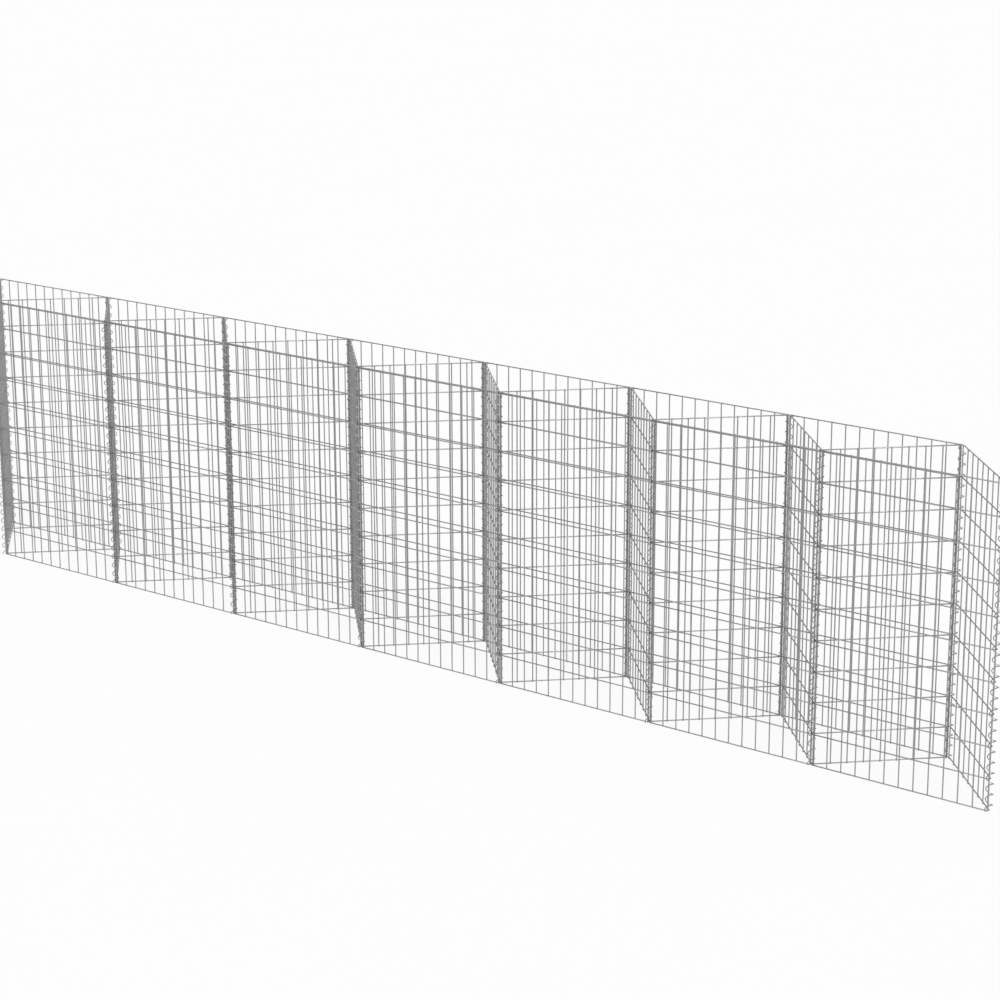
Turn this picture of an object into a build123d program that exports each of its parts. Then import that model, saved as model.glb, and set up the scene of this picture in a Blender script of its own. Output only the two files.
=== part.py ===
"""Gabion basket: a long, empty basket of welded wire mesh, seven bays long, braced inside by a zigzag.

Lengths are millimetres. X runs along the basket, Y from front to back, Z up, and the origin is under the
middle of the basket. Every flat panel is one lattice of straight bars. A wire spiral laces the panel edges
together at each place where panels meet.
"""
import math
import os

from build123d import *

# Mesh
wire_diameter = 4.0
mesh_pitch = 50.0
row_pitch = 100.0
panel_columns = 12
brace_columns = 8
rows = 10
weld_sink = 0.4

# Plan of the basket
bays = 7
depth = 310.0
panel_edge_offset = 4.5
edge_gap = 0.2

# Spirals. A hand of 1 winds as a right-handed screw does, and -1 is its mirror image. The shares say how
# far up its pitch a spiral is where it passes the side that faces +X.
spiral_wire_diameter = 2.5
turns_per_row = 3
sides_per_turn = 8
spiral_gap = 0.2
spiral_end_clearance = 0.6
right_hand = 1
left_hand = -1
front_phase_share = 0.72
back_phase_share = 0.87
back_end_phase_share = 0.37

# A square bar with the same section area as the round wire carries the same weight of steel.
square_side_share = math.sqrt(math.pi) / 2
bar = wire_diameter * square_side_share
spiral_bar = spiral_wire_diameter * square_side_share

panel_width = panel_columns * mesh_pitch
bay_pitch = panel_width + 2 * panel_edge_offset
half_bay = bay_pitch / 2
length = bays * bay_pitch + half_bay
height = rows * row_pitch + bar
layer_step = bar - weld_sink
spiral_pitch = row_pitch / turns_per_row

# At a back post the ends of a zigzag panel's level bars just clear the edge bars of the back panels. At a
# front post its edge bar stands further off, so the front panels come in until they clear it as closely.
brace_angle = math.atan2(depth, half_bay)
along, across = math.cos(brace_angle), math.sin(brace_angle)
brace_start = (panel_edge_offset + bar / 2) * along + bar / 2 * across + edge_gap
brace_edge_offset = brace_start + bar / 2
brace_width = math.hypot(half_bay, depth) - 2 * brace_edge_offset
front_panel_inset = brace_start * across - bar / 2 * along - bar / 2 - edge_gap

# A spiral goes round the farthest corners of the edge bars at its post.
edge_reach = math.hypot(brace_edge_offset + bar / 2, bar / 2)
spiral_radius = (edge_reach + spiral_gap + spiral_bar / 2) / math.cos(math.pi / sides_per_turn)


def lattice(width, columns):
    """Return a flat mesh panel in the XZ plane.

    The upright bars stand in one layer and the level bars lie in front of them, sunk in a little as a
    weld sinks them, so all the bars are one solid.
    """
    bars = []
    for column in range(columns + 1):
        x = width * (column / columns - 0.5)
        upright = Box(bar, bar, height, align=(Align.CENTER, Align.CENTER, Align.MIN))
        bars.append(Pos(x, 0, 0) * upright)
    for row in range(rows + 1):
        z = row * row_pitch
        level = Box(width + bar, bar, bar, align=(Align.CENTER, Align.CENTER, Align.MIN))
        bars.append(Pos(0, -layer_step, z) * level)
    return bars[0].fuse(*bars[1:])


def spiral(hand, phase_share):
    """Return one lacing spiral about the Z axis, as a square bar bent at every corner of its turns.

    The section stands upright at every corner, so the sides towards and away from the axis are flat. The
    top and the bottom wind a little, so both are folded along a diagonal, in parallel.
    """
    step = spiral_pitch / sides_per_turn
    half_turn = math.pi / sides_per_turn
    climb = math.atan2(step, 2 * spiral_radius * math.sin(half_turn))
    half_width = spiral_bar / 2 / math.cos(half_turn)
    half_rise = spiral_bar / 2 / math.cos(climb)
    lowest = half_rise + spiral_end_clearance
    first = math.ceil((lowest / spiral_pitch - phase_share) * sides_per_turn)
    last = math.floor(((height - lowest) / spiral_pitch - phase_share) * sides_per_turn)

    rings = []
    for corner in range(first, last + 1):
        turn = hand * math.tau * corner / sides_per_turn
        z = corner * step + phase_share * spiral_pitch
        near, far = (
            Vector(radius * math.cos(turn), radius * math.sin(turn), z)
            for radius in (spiral_radius - hand * half_width, spiral_radius + hand * half_width)
        )
        rise = Vector(0, 0, half_rise)
        rings.append([far + rise, near + rise, near - rise, far - rise])

    outlines = [rings[0][::-1], rings[-1]]
    for (a, b, c, d), (e, f, g, h) in zip(rings, rings[1:]):
        outlines += [[a, b, f], [a, f, e], [b, c, g, f], [c, d, g], [d, h, g], [d, a, e, h]]
    return Solid(Shell([Face(Wire.make_polygon(outline)) for outline in outlines]))


side_panel = lattice(panel_width, panel_columns)
brace_panel = lattice(brace_width, brace_columns)
front_lacing = spiral(left_hand, front_phase_share)
back_lacing = spiral(right_hand, back_phase_share)
back_end_lacing = spiral(left_hand, back_end_phase_share)
about_face = Rot(0, 0, 180)

# Post lines, from left to right. The back ones stand half a bay further left than the front ones.
front_posts = [(-length / 2 + half_bay + post * bay_pitch, -depth / 2) for post in range(bays + 1)]
back_posts = [(-length / 2 + post * bay_pitch, depth / 2) for post in range(bays + 1)]

nodes = {}
for bay in range(bays):
    front_x = (front_posts[bay][0] + front_posts[bay + 1][0]) / 2
    back_x = (back_posts[bay][0] + back_posts[bay + 1][0]) / 2
    nodes[f"front_panel_{bay + 1}"] = Pos(front_x, -depth / 2 + front_panel_inset, 0) * side_panel
    nodes[f"back_panel_{bay + 1}"] = Pos(back_x, depth / 2, 0) * about_face * side_panel

# The zigzag visits a back post and then the front post half a bay to its right, bay after bay. The level
# bars of its panels lie on the side away from the front.
zigzag = [post for pair in zip(back_posts, front_posts) for post in pair]
for number, (start, end) in enumerate(zip(zigzag, zigzag[1:])):
    name = f"brace_panel_{number:02d}"
    if number == 0:
        name = "left_end_panel"
    if number == len(zigzag) - 2:
        name = "right_end_panel"
    angle = math.degrees(math.atan2(end[1] - start[1], end[0] - start[0]))
    middle = Pos((start[0] + end[0]) / 2, 0, 0)
    nodes[name] = middle * Rot(0, 0, angle) * about_face * brace_panel

for post in range(bays + 1):
    lacing = back_lacing if post < bays else back_end_lacing
    nodes[f"front_spiral_{post + 1}"] = Pos(*front_posts[post], 0) * front_lacing
    nodes[f"back_spiral_{post + 1}"] = Pos(*back_posts[post], 0) * lacing

os.makedirs("parts", exist_ok=True)
for name, shape in nodes.items():
    shape.label = name
    export_step(shape, f"parts/{name}.step", write_pcurves=False)
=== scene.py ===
"""Gabion basket: round galvanised mesh wires with welds and cut ends, and spirals that lace the panels."""
import logging
import math
from dataclasses import dataclass
from enum import Enum

import bpy
from mathutils import Matrix, Vector


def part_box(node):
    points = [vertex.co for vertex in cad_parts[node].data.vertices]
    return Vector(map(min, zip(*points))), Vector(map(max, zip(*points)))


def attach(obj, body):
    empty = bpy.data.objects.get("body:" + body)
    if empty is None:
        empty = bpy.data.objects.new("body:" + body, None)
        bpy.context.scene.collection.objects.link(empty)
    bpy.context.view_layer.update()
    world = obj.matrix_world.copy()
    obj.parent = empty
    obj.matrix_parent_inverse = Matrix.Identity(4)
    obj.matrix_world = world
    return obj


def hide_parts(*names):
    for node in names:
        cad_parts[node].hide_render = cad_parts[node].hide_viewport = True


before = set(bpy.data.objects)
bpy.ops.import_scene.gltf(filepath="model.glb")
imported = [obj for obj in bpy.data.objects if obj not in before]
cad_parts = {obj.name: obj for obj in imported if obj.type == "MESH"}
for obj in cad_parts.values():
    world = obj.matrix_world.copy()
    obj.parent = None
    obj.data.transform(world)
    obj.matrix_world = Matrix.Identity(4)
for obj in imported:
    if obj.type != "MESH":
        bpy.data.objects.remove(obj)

log = logging.getLogger("gabion_basket")

MM = 0.001
WHITE = "#ffffff"

# A face is a cut end where its normal runs this nearly along the wire, as a cosine.
CUT_END_COSINE = 0.9
# The skin of a coil is all four-cornered faces, and its cut ends have more corners.
SKIN_CORNERS = 4


class Hand(Enum):
    """Which way a spiral winds as it climbs: like a right-handed screw, or like its mirror image."""

    RIGHT = 1
    LEFT = -1


class Slot(Enum):
    """The record's material slots."""

    MESH = "mesh_wire"
    SPIRAL = "spiral_wire"


def linear(hex_colour: str) -> tuple[float, float, float, float]:
    """Turn an sRGB hex colour into linear light.

    Args:
        hex_colour: Colour such as "#939393".

    Returns:
        Red, green, blue and alpha, each from 0 to 1.
    """
    parts = [int(hex_colour[i:i + 2], 16) / 255 for i in (1, 3, 5)]
    lit = [p / 12.92 if p <= 0.04045 else ((p + 0.055) / 1.055) ** 2.4 for p in parts]
    return (*lit, 1.0)


def add_node(tree: bpy.types.NodeTree, kind: str, settings: dict | None = None,
             inputs: dict | None = None) -> bpy.types.Node:
    """Add one shader node with its settings and its links.

    Args:
        tree: Node tree that gets the node.
        kind: Blender's name for the node type.
        settings: Attributes to set, by name.
        inputs: Values or output sockets for the inputs, by name or place.

    Returns:
        The new node.
    """
    node = tree.nodes.new(kind)
    for name, value in (settings or {}).items():
        setattr(node, name, value)
    for name, value in (inputs or {}).items():
        if isinstance(value, bpy.types.NodeSocket):
            tree.links.new(value, node.inputs[name])
        else:
            node.inputs[name].default_value = value
    return node


def fresh_material(name: str) -> bpy.types.Material:
    """Make an empty node material of that name.

    Args:
        name: The material's name.

    Returns:
        The material, with no nodes in it.
    """
    material = bpy.data.materials.new(name)
    material.use_nodes = True
    material.node_tree.nodes.clear()
    return material


def seen_white(tree: bpy.types.NodeTree) -> bpy.types.NodeSocket:
    """Tell the rays that see the white surroundings from the rays that carry light to the object.

    Args:
        tree: Node tree of a material or of the world.

    Returns:
        A socket that is 1 for camera, glossy and transmission rays, and 0 for the others.
    """
    rays = add_node(tree, "ShaderNodeLightPath")
    direct = add_node(tree, "ShaderNodeMath", {"operation": "MAXIMUM"},
                      {0: rays.outputs["Is Camera Ray"], 1: rays.outputs["Is Glossy Ray"]})
    every = add_node(tree, "ShaderNodeMath", {"operation": "MAXIMUM"},
                     {0: direct.outputs[0], 1: rays.outputs["Is Transmission Ray"]})
    return every.outputs[0]


def deselect() -> None:
    """Leave edit mode and select nothing."""
    if bpy.context.mode != "OBJECT":
        bpy.ops.object.mode_set(mode="OBJECT")
    bpy.ops.object.select_all(action="DESELECT")


def make_active(obj: bpy.types.Object) -> None:
    """Select one object alone and make it the active one.

    Args:
        obj: The object to work on.
    """
    deselect()
    obj.select_set(True)
    bpy.context.view_layer.objects.active = obj


def row_of_copies(obj: bpy.types.Object, count: int, step: tuple[float, float, float]) -> None:
    """Repeat an object's mesh in a straight row with an applied Array modifier.

    Args:
        obj: The object to repeat.
        count: How many there are in the end.
        step: Offset from one to the next, in metres.
    """
    make_active(obj)
    array = obj.modifiers.new("row", "ARRAY")
    array.count = count
    array.use_relative_offset = False
    array.use_constant_offset = True
    array.constant_offset_displace = step
    bpy.ops.object.modifier_apply(modifier=array.name)


def joined(objects: list[bpy.types.Object], name: str) -> bpy.types.Object:
    """Join objects into one mesh object.

    Args:
        objects: The objects to join.
        name: Name of the result.

    Returns:
        The joined object.
    """
    make_active(objects[0])
    for obj in objects[1:]:
        obj.select_set(True)
    bpy.ops.object.join()
    whole = bpy.context.object
    whole.name = name
    whole.data.name = name
    return whole


def placed_copy(master: bpy.types.Object, name: str, x: float, y: float, turn: float) -> bpy.types.Object:
    """Copy a finished piece with a mesh of its own, and put its place into that mesh.

    Args:
        master: The piece to copy, standing over the origin.
        name: Name of the copy.
        x: Place along the basket, in metres.
        y: Place from front to back, in metres.
        turn: Turn about the upright axis, in degrees.

    Returns:
        The copy, with its object at the origin.
    """
    make_active(master)
    bpy.ops.object.duplicate(linked=False)
    copy = bpy.context.object
    copy.name = name
    copy.data.name = name
    copy.matrix_world = Matrix.Translation((x, y, 0.0)) @ Matrix.Rotation(math.radians(turn), 4, "Z")
    bpy.ops.object.transform_apply(location=True, rotation=True, scale=True)
    return copy


@dataclass(frozen=True)
class Zinc:
    """Hot-dip galvanised steel wire.

    The zinc skin is a soft mid grey. Its crystals, the spangle, differ a little in tone, and the dip leaves
    longer paler and darker stretches along the wire. On the wire the crystals are 1 to 2 mm, too fine to show
    here, so they are drawn coarser.
    """

    name: str
    dark: str
    light: str
    roughness_low: float
    roughness_high: float
    spangle_mm: float = 5.0
    stretch_mm: float = 70.0
    stretch_detail: float = 3.0
    stretch_roughness: float = 0.6
    stretch_share: float = 0.6
    stretch_low: float = 0.3
    stretch_high: float = 0.7
    pits_mm: float = 0.8
    pits_detail: float = 2.0
    pits_strength: float = 0.25
    pits_depth_mm: float = 0.05

    def material(self) -> bpy.types.Material:
        """Build the node material.

        Returns:
            The material.
        """
        material = fresh_material(self.name)
        tree = material.node_tree
        place = add_node(tree, "ShaderNodeTexCoord").outputs["Object"]
        crystals = add_node(tree, "ShaderNodeTexVoronoi", {"feature": "F1"},
                            {"Vector": place, "Scale": 1 / (self.spangle_mm * MM)})
        facet = add_node(tree, "ShaderNodeSeparateColor", None, {"Color": crystals.outputs["Color"]})
        stretch = add_node(tree, "ShaderNodeTexNoise", None,
                           {"Vector": place, "Scale": 1 / (self.stretch_mm * MM),
                            "Detail": self.stretch_detail, "Roughness": self.stretch_roughness})
        tone = add_node(tree, "ShaderNodeMix", {"data_type": "FLOAT"},
                        {"Factor": self.stretch_share, 2: facet.outputs["Red"], 3: stretch.outputs["Fac"]})
        colour = add_node(tree, "ShaderNodeMix", {"data_type": "RGBA"},
                          {"Factor": tone.outputs[0], 6: linear(self.dark), 7: linear(self.light)})
        polish = add_node(tree, "ShaderNodeMapRange", None,
                          {"Value": stretch.outputs["Fac"],
                           "From Min": self.stretch_low, "From Max": self.stretch_high,
                           "To Min": self.roughness_low, "To Max": self.roughness_high})
        pits = add_node(tree, "ShaderNodeTexNoise", None,
                        {"Vector": place, "Scale": 1 / (self.pits_mm * MM), "Detail": self.pits_detail})
        relief = add_node(tree, "ShaderNodeBump", None,
                          {"Height": pits.outputs["Fac"], "Strength": self.pits_strength,
                           "Distance": self.pits_depth_mm * MM})
        steel = add_node(tree, "ShaderNodeBsdfPrincipled", None,
                         {"Base Color": colour.outputs[2], "Metallic": 1.0,
                          "Roughness": polish.outputs["Result"], "Normal": relief.outputs["Normal"]})
        add_node(tree, "ShaderNodeOutputMaterial", None, {"Surface": steel.outputs["BSDF"]})
        return material


@dataclass(frozen=True)
class Scale:
    """Bared steel, darker and rougher than zinc: burnt by a resistance weld, or sheared at a wire end."""

    name: str
    dark: str
    light: str
    roughness: float
    grain_mm: float
    grain_detail: float = 3.0
    grain_strength: float = 0.4
    grain_depth_mm: float = 0.1
    metallic: float = 0.9

    def material(self) -> bpy.types.Material:
        """Build the node material.

        Returns:
            The material.
        """
        material = fresh_material(self.name)
        tree = material.node_tree
        place = add_node(tree, "ShaderNodeTexCoord").outputs["Object"]
        grain = add_node(tree, "ShaderNodeTexNoise", None,
                         {"Vector": place, "Scale": 1 / (self.grain_mm * MM), "Detail": self.grain_detail})
        colour = add_node(tree, "ShaderNodeMix", {"data_type": "RGBA"},
                          {"Factor": grain.outputs["Fac"], 6: linear(self.dark), 7: linear(self.light)})
        relief = add_node(tree, "ShaderNodeBump", None,
                          {"Height": grain.outputs["Fac"], "Strength": self.grain_strength,
                           "Distance": self.grain_depth_mm * MM})
        steel = add_node(tree, "ShaderNodeBsdfPrincipled", None,
                         {"Base Color": colour.outputs[2], "Metallic": self.metallic,
                          "Roughness": self.roughness, "Normal": relief.outputs["Normal"]})
        add_node(tree, "ShaderNodeOutputMaterial", None, {"Surface": steel.outputs["BSDF"]})
        return material


@dataclass(frozen=True)
class Paper:
    """White studio paper: matt, with a trace of tone in it, and washed out as a lit studio floor looks."""

    name: str
    dark: str
    light: str
    mottle_mm: float
    wash: float

    def material(self) -> bpy.types.Material:
        """Build the node material.

        Returns:
            The material.
        """
        material = fresh_material(self.name)
        tree = material.node_tree
        place = add_node(tree, "ShaderNodeTexCoord").outputs["Object"]
        mottle = add_node(tree, "ShaderNodeTexNoise", None,
                          {"Vector": place, "Scale": 1 / (self.mottle_mm * MM)})
        colour = add_node(tree, "ShaderNodeMix", {"data_type": "RGBA"},
                          {"Factor": mottle.outputs["Fac"], 6: linear(self.dark), 7: linear(self.light)})
        sheet = add_node(tree, "ShaderNodeBsdfDiffuse", None, {"Color": colour.outputs[2]})
        glow = add_node(tree, "ShaderNodeEmission", None, {"Color": linear(WHITE), "Strength": 1.0})
        share = add_node(tree, "ShaderNodeMath", {"operation": "MULTIPLY"},
                         {0: seen_white(tree), 1: self.wash})
        washed = add_node(tree, "ShaderNodeMixShader", None,
                          {0: share.outputs[0], 1: sheet.outputs["BSDF"], 2: glow.outputs["Emission"]})
        add_node(tree, "ShaderNodeOutputMaterial", None, {"Surface": washed.outputs["Shader"]})
        return material


@dataclass(frozen=True)
class Finishes:
    """The finishes of the basket, each made once."""

    mesh: Zinc = Zinc("galvanised_mesh_wire", "#868686", "#aeaeae", 0.42, 0.5)
    spiral: Zinc = Zinc("galvanised_spiral_wire", "#8c8c8c", "#b4b4b4", 0.42, 0.5)
    weld: Scale = Scale("burnt_zinc_weld", "#6c6b6a", "#8e8e8e", 0.62, 1.5)
    cut: Scale = Scale("sheared_wire_end", "#747270", "#989796", 0.5, 0.6)


@dataclass
class MeshPanel:
    """A flat panel of welded mesh: uprights, level wires in front of them, and a weld at each crossing."""

    width: float
    columns: int
    rows: int
    lowest: float
    highest: float
    wire: float = 4.0 * MM
    sink: float = 0.5 * MM
    sides: int = 10
    chamfer: float = 0.35 * MM
    weld_wide: float = 5.6 * MM
    weld_tall: float = 3.8 * MM
    weld_thick: float = 2.6 * MM
    weld_segments: int = 8
    weld_rings: int = 4
    smooth_angle: float = 50.0

    @property
    def row_step(self) -> float:
        """Height from one level wire to the next."""
        return (self.highest - self.lowest - self.wire) / self.rows

    @property
    def column_step(self) -> float:
        """Distance from one upright to the next."""
        return self.width / self.columns

    @property
    def layer_step(self) -> float:
        """Distance between the two layers of wire, which sink a little into each other."""
        return self.wire - self.sink

    def cut_wire(self, length: float, centre: tuple[float, float, float], lying: bool,
                 finishes: tuple[bpy.types.Material, bpy.types.Material]) -> bpy.types.Object:
        """Model one straight wire with sheared ends.

        Args:
            length: From end to end, in metres.
            centre: The wire's middle.
            lying: True for a level wire, False for an upright.
            finishes: Materials of the skin and of the cut ends.

        Returns:
            The wire.
        """
        deselect()
        turn = (0.0, math.pi / 2, 0.0) if lying else (0.0, 0.0, 0.0)
        bpy.ops.mesh.primitive_cylinder_add(vertices=self.sides, radius=self.wire / 2, depth=length,
                                            location=centre, rotation=turn)
        wire = bpy.context.object
        bpy.ops.object.transform_apply(location=True, rotation=True, scale=True)
        axis = Vector((1, 0, 0)) if lying else Vector((0, 0, 1))
        for finish in finishes:
            wire.data.materials.append(finish)
        for face in wire.data.polygons:
            cap = abs(face.normal.dot(axis)) > CUT_END_COSINE
            face.select = cap
            face.material_index = 1 if cap else 0
        bpy.ops.object.mode_set(mode="EDIT")
        bpy.ops.mesh.select_mode(type="FACE")
        bpy.ops.mesh.region_to_loop()
        bpy.ops.mesh.bevel(offset=self.chamfer, offset_type="OFFSET", segments=1, affect="EDGES", material=0)
        bpy.ops.object.mode_set(mode="OBJECT")
        return wire

    def weld(self, centre: tuple[float, float, float], finish: bpy.types.Material) -> bpy.types.Object:
        """Model one weld: a flat bead squeezed out between two wires.

        Args:
            centre: Place of the bead.
            finish: Its material.

        Returns:
            The bead.
        """
        deselect()
        bpy.ops.mesh.primitive_uv_sphere_add(segments=self.weld_segments, ring_count=self.weld_rings,
                                             radius=self.weld_wide / 2, rotation=(math.pi / 2, 0.0, 0.0))
        bead = bpy.context.object
        bpy.ops.object.transform_apply(location=False, rotation=True, scale=True)
        bead.data.materials.append(finish)
        bpy.ops.object.mode_set(mode="EDIT")
        bpy.ops.mesh.select_all(action="SELECT")
        bpy.ops.transform.rotate(value=math.pi / self.weld_segments, orient_axis="Y",
                                 center_override=(0.0, 0.0, 0.0))
        squeeze = (1.0, self.weld_thick / self.weld_wide, self.weld_tall / self.weld_wide)
        bpy.ops.transform.resize(value=squeeze)
        bpy.ops.transform.translate(value=centre)
        bpy.ops.object.mode_set(mode="OBJECT")
        return bead

    def build(self, name: str, skin: bpy.types.Material, weld: bpy.types.Material,
              cut: bpy.types.Material) -> bpy.types.Object:
        """Model the whole panel, standing over the origin with its uprights in the plane y = 0.

        Args:
            name: Name of the panel.
            skin: Material of the wires.
            weld: Material of the welds.
            cut: Material of the cut ends.

        Returns:
            The panel as one object.
        """
        middle = (self.lowest + self.highest) / 2
        left = -self.width / 2
        first_row = self.lowest + self.wire / 2
        uprights = self.cut_wire(self.highest - self.lowest, (left, 0.0, middle), False, (skin, cut))
        row_of_copies(uprights, self.columns + 1, (self.column_step, 0.0, 0.0))
        levels = self.cut_wire(self.width + self.wire, (0.0, -self.layer_step, first_row), True, (skin, cut))
        row_of_copies(levels, self.rows + 1, (0.0, 0.0, self.row_step))
        welds = self.weld((left, -self.layer_step / 2, first_row), weld)
        row_of_copies(welds, self.columns + 1, (self.column_step, 0.0, 0.0))
        row_of_copies(welds, self.rows + 1, (0.0, 0.0, self.row_step))
        panel = joined([uprights, levels, welds], name)
        make_active(panel)
        bpy.ops.object.shade_smooth_by_angle(angle=math.radians(self.smooth_angle))
        return panel


@dataclass
class LacingSpiral:
    """A coil of wire, wound round the edge wires of the panels that meet at a post line."""

    radius: float
    pitch: float
    lowest: float
    highest: float
    hand: Hand
    phase: float
    wire: float
    sides: int = 8
    steps_per_turn: int = 20
    smooth_angle: float = 60.0

    def build(self, name: str, skin: bpy.types.Material, cut: bpy.types.Material) -> bpy.types.Object:
        """Model the coil about the Z axis.

        Args:
            name: Name of the coil.
            skin: Material of the wire.
            cut: Material of its two cut ends.

        Returns:
            The coil.
        """
        slope = math.atan2(self.pitch, math.tau * self.radius)
        tall = self.wire / 2 / math.cos(slope)
        turns = (self.highest - self.lowest - 2 * tall) / self.pitch
        start = self.lowest + tall
        deselect()
        centre = (self.radius, 0.0, start)
        bpy.ops.mesh.primitive_circle_add(vertices=self.sides, radius=self.wire / 2, fill_type="NOTHING",
                                          location=centre, rotation=(math.pi / 2, 0.0, 0.0))
        coil = bpy.context.object
        bpy.ops.object.transform_apply(location=True, rotation=True, scale=True)
        coil.name = name
        coil.data.name = name
        coil.data.materials.append(skin)
        coil.data.materials.append(cut)
        bpy.ops.object.mode_set(mode="EDIT")
        bpy.ops.mesh.select_all(action="SELECT")
        bpy.ops.transform.resize(value=(1.0, 1.0, 1 / math.cos(slope)), center_override=centre)
        bpy.ops.object.mode_set(mode="OBJECT")
        screw = coil.modifiers.new("coil", "SCREW")
        screw.axis = "Z"
        screw.angle = self.hand.value * math.tau * turns
        screw.screw_offset = self.pitch * turns
        screw.steps = round(turns * self.steps_per_turn)
        screw.render_steps = screw.steps
        screw.use_merge_vertices = False
        bpy.ops.object.modifier_apply(modifier=screw.name)
        bpy.ops.object.mode_set(mode="EDIT")
        bpy.ops.mesh.select_all(action="SELECT")
        bpy.ops.mesh.fill_holes(sides=self.sides)
        bpy.ops.mesh.select_all(action="SELECT")
        bpy.ops.mesh.normals_make_consistent(inside=False)
        bpy.ops.object.mode_set(mode="OBJECT")
        for face in coil.data.polygons:
            face.material_index = 1 if len(face.vertices) > SKIN_CORNERS else 0
        begin = self.hand.value * (start / self.pitch - self.phase) * math.tau
        coil.matrix_world = Matrix.Rotation(begin, 4, "Z")
        make_active(coil)
        bpy.ops.object.transform_apply(location=True, rotation=True, scale=True)
        bpy.ops.object.shade_smooth_by_angle(angle=math.radians(self.smooth_angle))
        return coil


@dataclass
class Basket:
    """The whole basket: side panels, zigzag panels and spirals, each in the place of its solid.

    The plan, the mesh and the heights at which the spirals' turns pass are those of the solids. The spiral
    wire is drawn half a millimetre thicker, as it looks in the photograph. The front inset is how far the
    front panels stand in from their post line, and the brace gap is how far along its own plane a zigzag
    panel's edge wire stands from a post.
    """

    bays: int = 7
    bay_pitch: float = 609.0 * MM
    depth: float = 310.0 * MM
    panel_width: float = 600.0 * MM
    panel_columns: int = 12
    front_inset: float = 0.966 * MM
    brace_gap: float = 7.632 * MM
    brace_columns: int = 8
    rows: int = 10
    turns_per_row: int = 3
    spiral_wire: float = 3.0 * MM
    spiral_gap: float = 0.1 * MM
    spiral_end_gap: float = 0.3 * MM
    front_phase: float = 0.72
    back_phase: float = 0.87
    back_end_phase: float = 0.37
    finishes: Finishes = Finishes()

    @property
    def length(self) -> float:
        """Distance between the first back post and the last front post."""
        return (self.bays + 0.5) * self.bay_pitch

    @property
    def brace_turn(self) -> float:
        """Angle between the zigzag panels and the side panels, in degrees."""
        return math.degrees(math.atan2(self.depth, self.bay_pitch / 2))

    def front_post(self, index: int) -> float:
        """Place of a front post along the basket."""
        return -self.length / 2 + (index + 0.5) * self.bay_pitch

    def back_post(self, index: int) -> float:
        """Place of a back post along the basket, half a bay left of its front post."""
        return -self.length / 2 + index * self.bay_pitch

    def dress(self, piece: bpy.types.Object, node: str) -> None:
        """Put a piece in the place of its solid.

        Args:
            piece: The modelled piece.
            node: Name of the solid that it stands for.
        """
        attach(piece, "root")
        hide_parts(node)
        log.info("%s: %d faces", piece.name, len(piece.data.polygons))

    def side_panels(self, master: bpy.types.Object) -> None:
        """Place the front and back panels, with their level wires outside.

        Args:
            master: The finished side panel.
        """
        for bay in range(self.bays):
            front = self.front_post(bay) + self.bay_pitch / 2
            back = self.back_post(bay) + self.bay_pitch / 2
            name = f"front_panel_{bay + 1}"
            piece = placed_copy(master, f"{name}_wires", front, -self.depth / 2 + self.front_inset, 0.0)
            self.dress(piece, name)
            name = f"back_panel_{bay + 1}"
            piece = placed_copy(master, f"{name}_wires", back, self.depth / 2, 180.0)
            self.dress(piece, name)

    def zigzag(self, master: bpy.types.Object) -> None:
        """Place the end panels and the zigzag panels, with their level wires on the side away from the front.

        Args:
            master: The finished zigzag panel.
        """
        last = 2 * self.bays
        for number in range(last + 1):
            name = f"brace_panel_{number:02d}"
            if number == 0:
                name = "left_end_panel"
            if number == last:
                name = "right_end_panel"
            x = -self.length / 2 + (number + 0.5) * self.bay_pitch / 2
            turn = self.brace_turn if number % 2 else -self.brace_turn
            self.dress(placed_copy(master, f"{name}_wires", x, 0.0, turn + 180.0), name)

    def spirals(self, front: bpy.types.Object, back: bpy.types.Object, back_end: bpy.types.Object) -> None:
        """Place the spirals at the post lines.

        Args:
            front: The finished spiral of the front posts.
            back: The finished spiral of the back posts.
            back_end: The finished spiral of the last back post, which winds the other way.
        """
        for post in range(self.bays + 1):
            name = f"front_spiral_{post + 1}"
            piece = placed_copy(front, f"{name}_coil", self.front_post(post), -self.depth / 2, 0.0)
            self.dress(piece, name)
            name = f"back_spiral_{post + 1}"
            master = back if post < self.bays else back_end
            piece = placed_copy(master, f"{name}_coil", self.back_post(post), self.depth / 2, 0.0)
            self.dress(piece, name)

    def build(self) -> None:
        """Model each kind of piece once, and place its copies."""
        skin = self.finishes.mesh.material()
        coil_skin = self.finishes.spiral.material()
        weld = self.finishes.weld.material()
        cut = self.finishes.cut.material()
        low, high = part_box("front_panel_1")
        side = MeshPanel(self.panel_width, self.panel_columns, self.rows, low[2], high[2])
        brace_width = math.hypot(self.bay_pitch / 2, self.depth) - 2 * self.brace_gap
        brace = MeshPanel(brace_width, self.brace_columns, self.rows, low[2], high[2])
        radius = self.brace_gap + side.wire / 2 + self.spiral_gap + self.spiral_wire / 2
        bottom, top = low[2] + self.spiral_end_gap, high[2] - self.spiral_end_gap
        pitch = side.row_step / self.turns_per_row
        coils = [
            LacingSpiral(radius, pitch, bottom, top, hand, phase, self.spiral_wire)
            for hand, phase in ((Hand.LEFT, self.front_phase), (Hand.RIGHT, self.back_phase),
                                (Hand.LEFT, self.back_end_phase))
        ]
        panels = [panel.build("panel", skin, weld, cut) for panel in (side, brace)]
        lacing = [coil.build("coil", coil_skin, cut) for coil in coils]
        side_master, brace_master = panels
        self.side_panels(side_master)
        self.zigzag(brace_master)
        self.spirals(*lacing)
        for master in panels + lacing:
            bpy.data.objects.remove(master, do_unlink=True)


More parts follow.
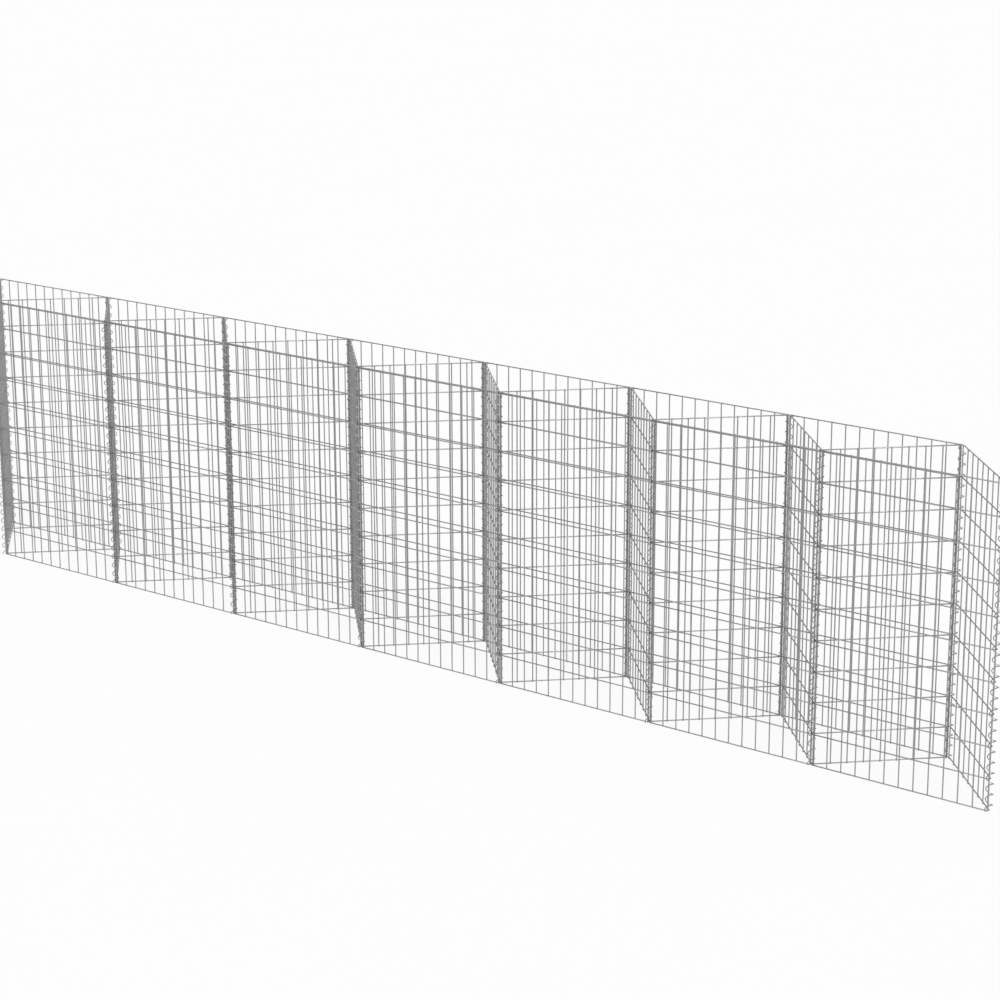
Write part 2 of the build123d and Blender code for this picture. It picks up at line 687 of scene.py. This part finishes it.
@dataclass
class Studio:
    """White floor, soft even light and the camera. Angles are degrees, and the camera is the one fitted."""

    floor_size: float = 160.0
    floor_drop: float = 0.2 * MM
    sky: float = 0.45
    sun: float = 2.3
    sun_softness: float = 38.0
    sun_tilt: float = 55.0
    sun_bearing: float = 60.0
    camera_place: tuple[float, float, float] = (5.66301, -6.79871, 3.02603)
    camera_aim: tuple[float, float, float] = (-0.593204, 0.75762, -0.272251)
    camera_roll: float = -0.1442
    focal_px: float = 2671.77
    frame_px: float = 1000.0
    sensor: float = 36.0
    paper: Paper = Paper("white_floor_paper", "#fafafa", WHITE, 900.0, 0.9)

    def floor(self) -> None:
        """Lay the floor."""
        deselect()
        bpy.ops.mesh.primitive_plane_add(size=self.floor_size, location=(0.0, 0.0, -self.floor_drop))
        floor = bpy.context.object
        floor.name = "floor"
        floor.data.materials.append(self.paper.material())

    def light(self) -> None:
        """Light the basket evenly from all round, with a soft sun from the right."""
        world = bpy.data.worlds.new("white_studio")
        bpy.context.scene.world = world
        world.use_nodes = True
        tree = world.node_tree
        tree.nodes.clear()
        strength = add_node(tree, "ShaderNodeMapRange", None, {"Value": seen_white(tree), "To Min": self.sky})
        sky = add_node(tree, "ShaderNodeBackground", None,
                       {"Color": linear(WHITE), "Strength": strength.outputs["Result"]})
        add_node(tree, "ShaderNodeOutputWorld", None, {"Surface": sky.outputs["Background"]})
        deselect()
        bpy.ops.object.light_add(type="SUN",
                                 rotation=(math.radians(self.sun_tilt), 0.0, math.radians(self.sun_bearing)))
        lamp = bpy.context.object
        lamp.name = "soft_sun"
        lamp.data.energy = self.sun
        lamp.data.angle = math.radians(self.sun_softness)

    def camera(self) -> None:
        """Set the camera where the picture was taken from."""
        ahead = Vector(self.camera_aim).normalized()
        right = ahead.cross(Vector((0, 0, 1))).normalized()
        up = right.cross(ahead)
        roll = math.radians(self.camera_roll)
        rolled = right * math.cos(roll) + up * math.sin(roll)
        raised = up * math.cos(roll) - right * math.sin(roll)
        deselect()
        bpy.ops.object.camera_add()
        camera = bpy.context.object
        camera.name = "camera"
        turn = Matrix((rolled, raised, -ahead)).transposed().to_4x4()
        camera.matrix_world = Matrix.Translation(self.camera_place) @ turn
        camera.data.sensor_width = self.sensor
        camera.data.lens = self.sensor * self.focal_px / self.frame_px
        camera.data.clip_end = 2 * self.floor_size
        bpy.context.scene.camera = camera

    def build(self) -> None:
        """Make the floor, the light and the camera."""
        self.floor()
        self.light()
        self.camera()
        bpy.context.scene.view_settings.view_transform = "Standard"


def main() -> None:
    """Build the basket and the studio."""
    logging.basicConfig(level=logging.INFO)
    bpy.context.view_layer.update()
    Basket().build()
    Studio().build()


if __name__ == "__main__":
    main()
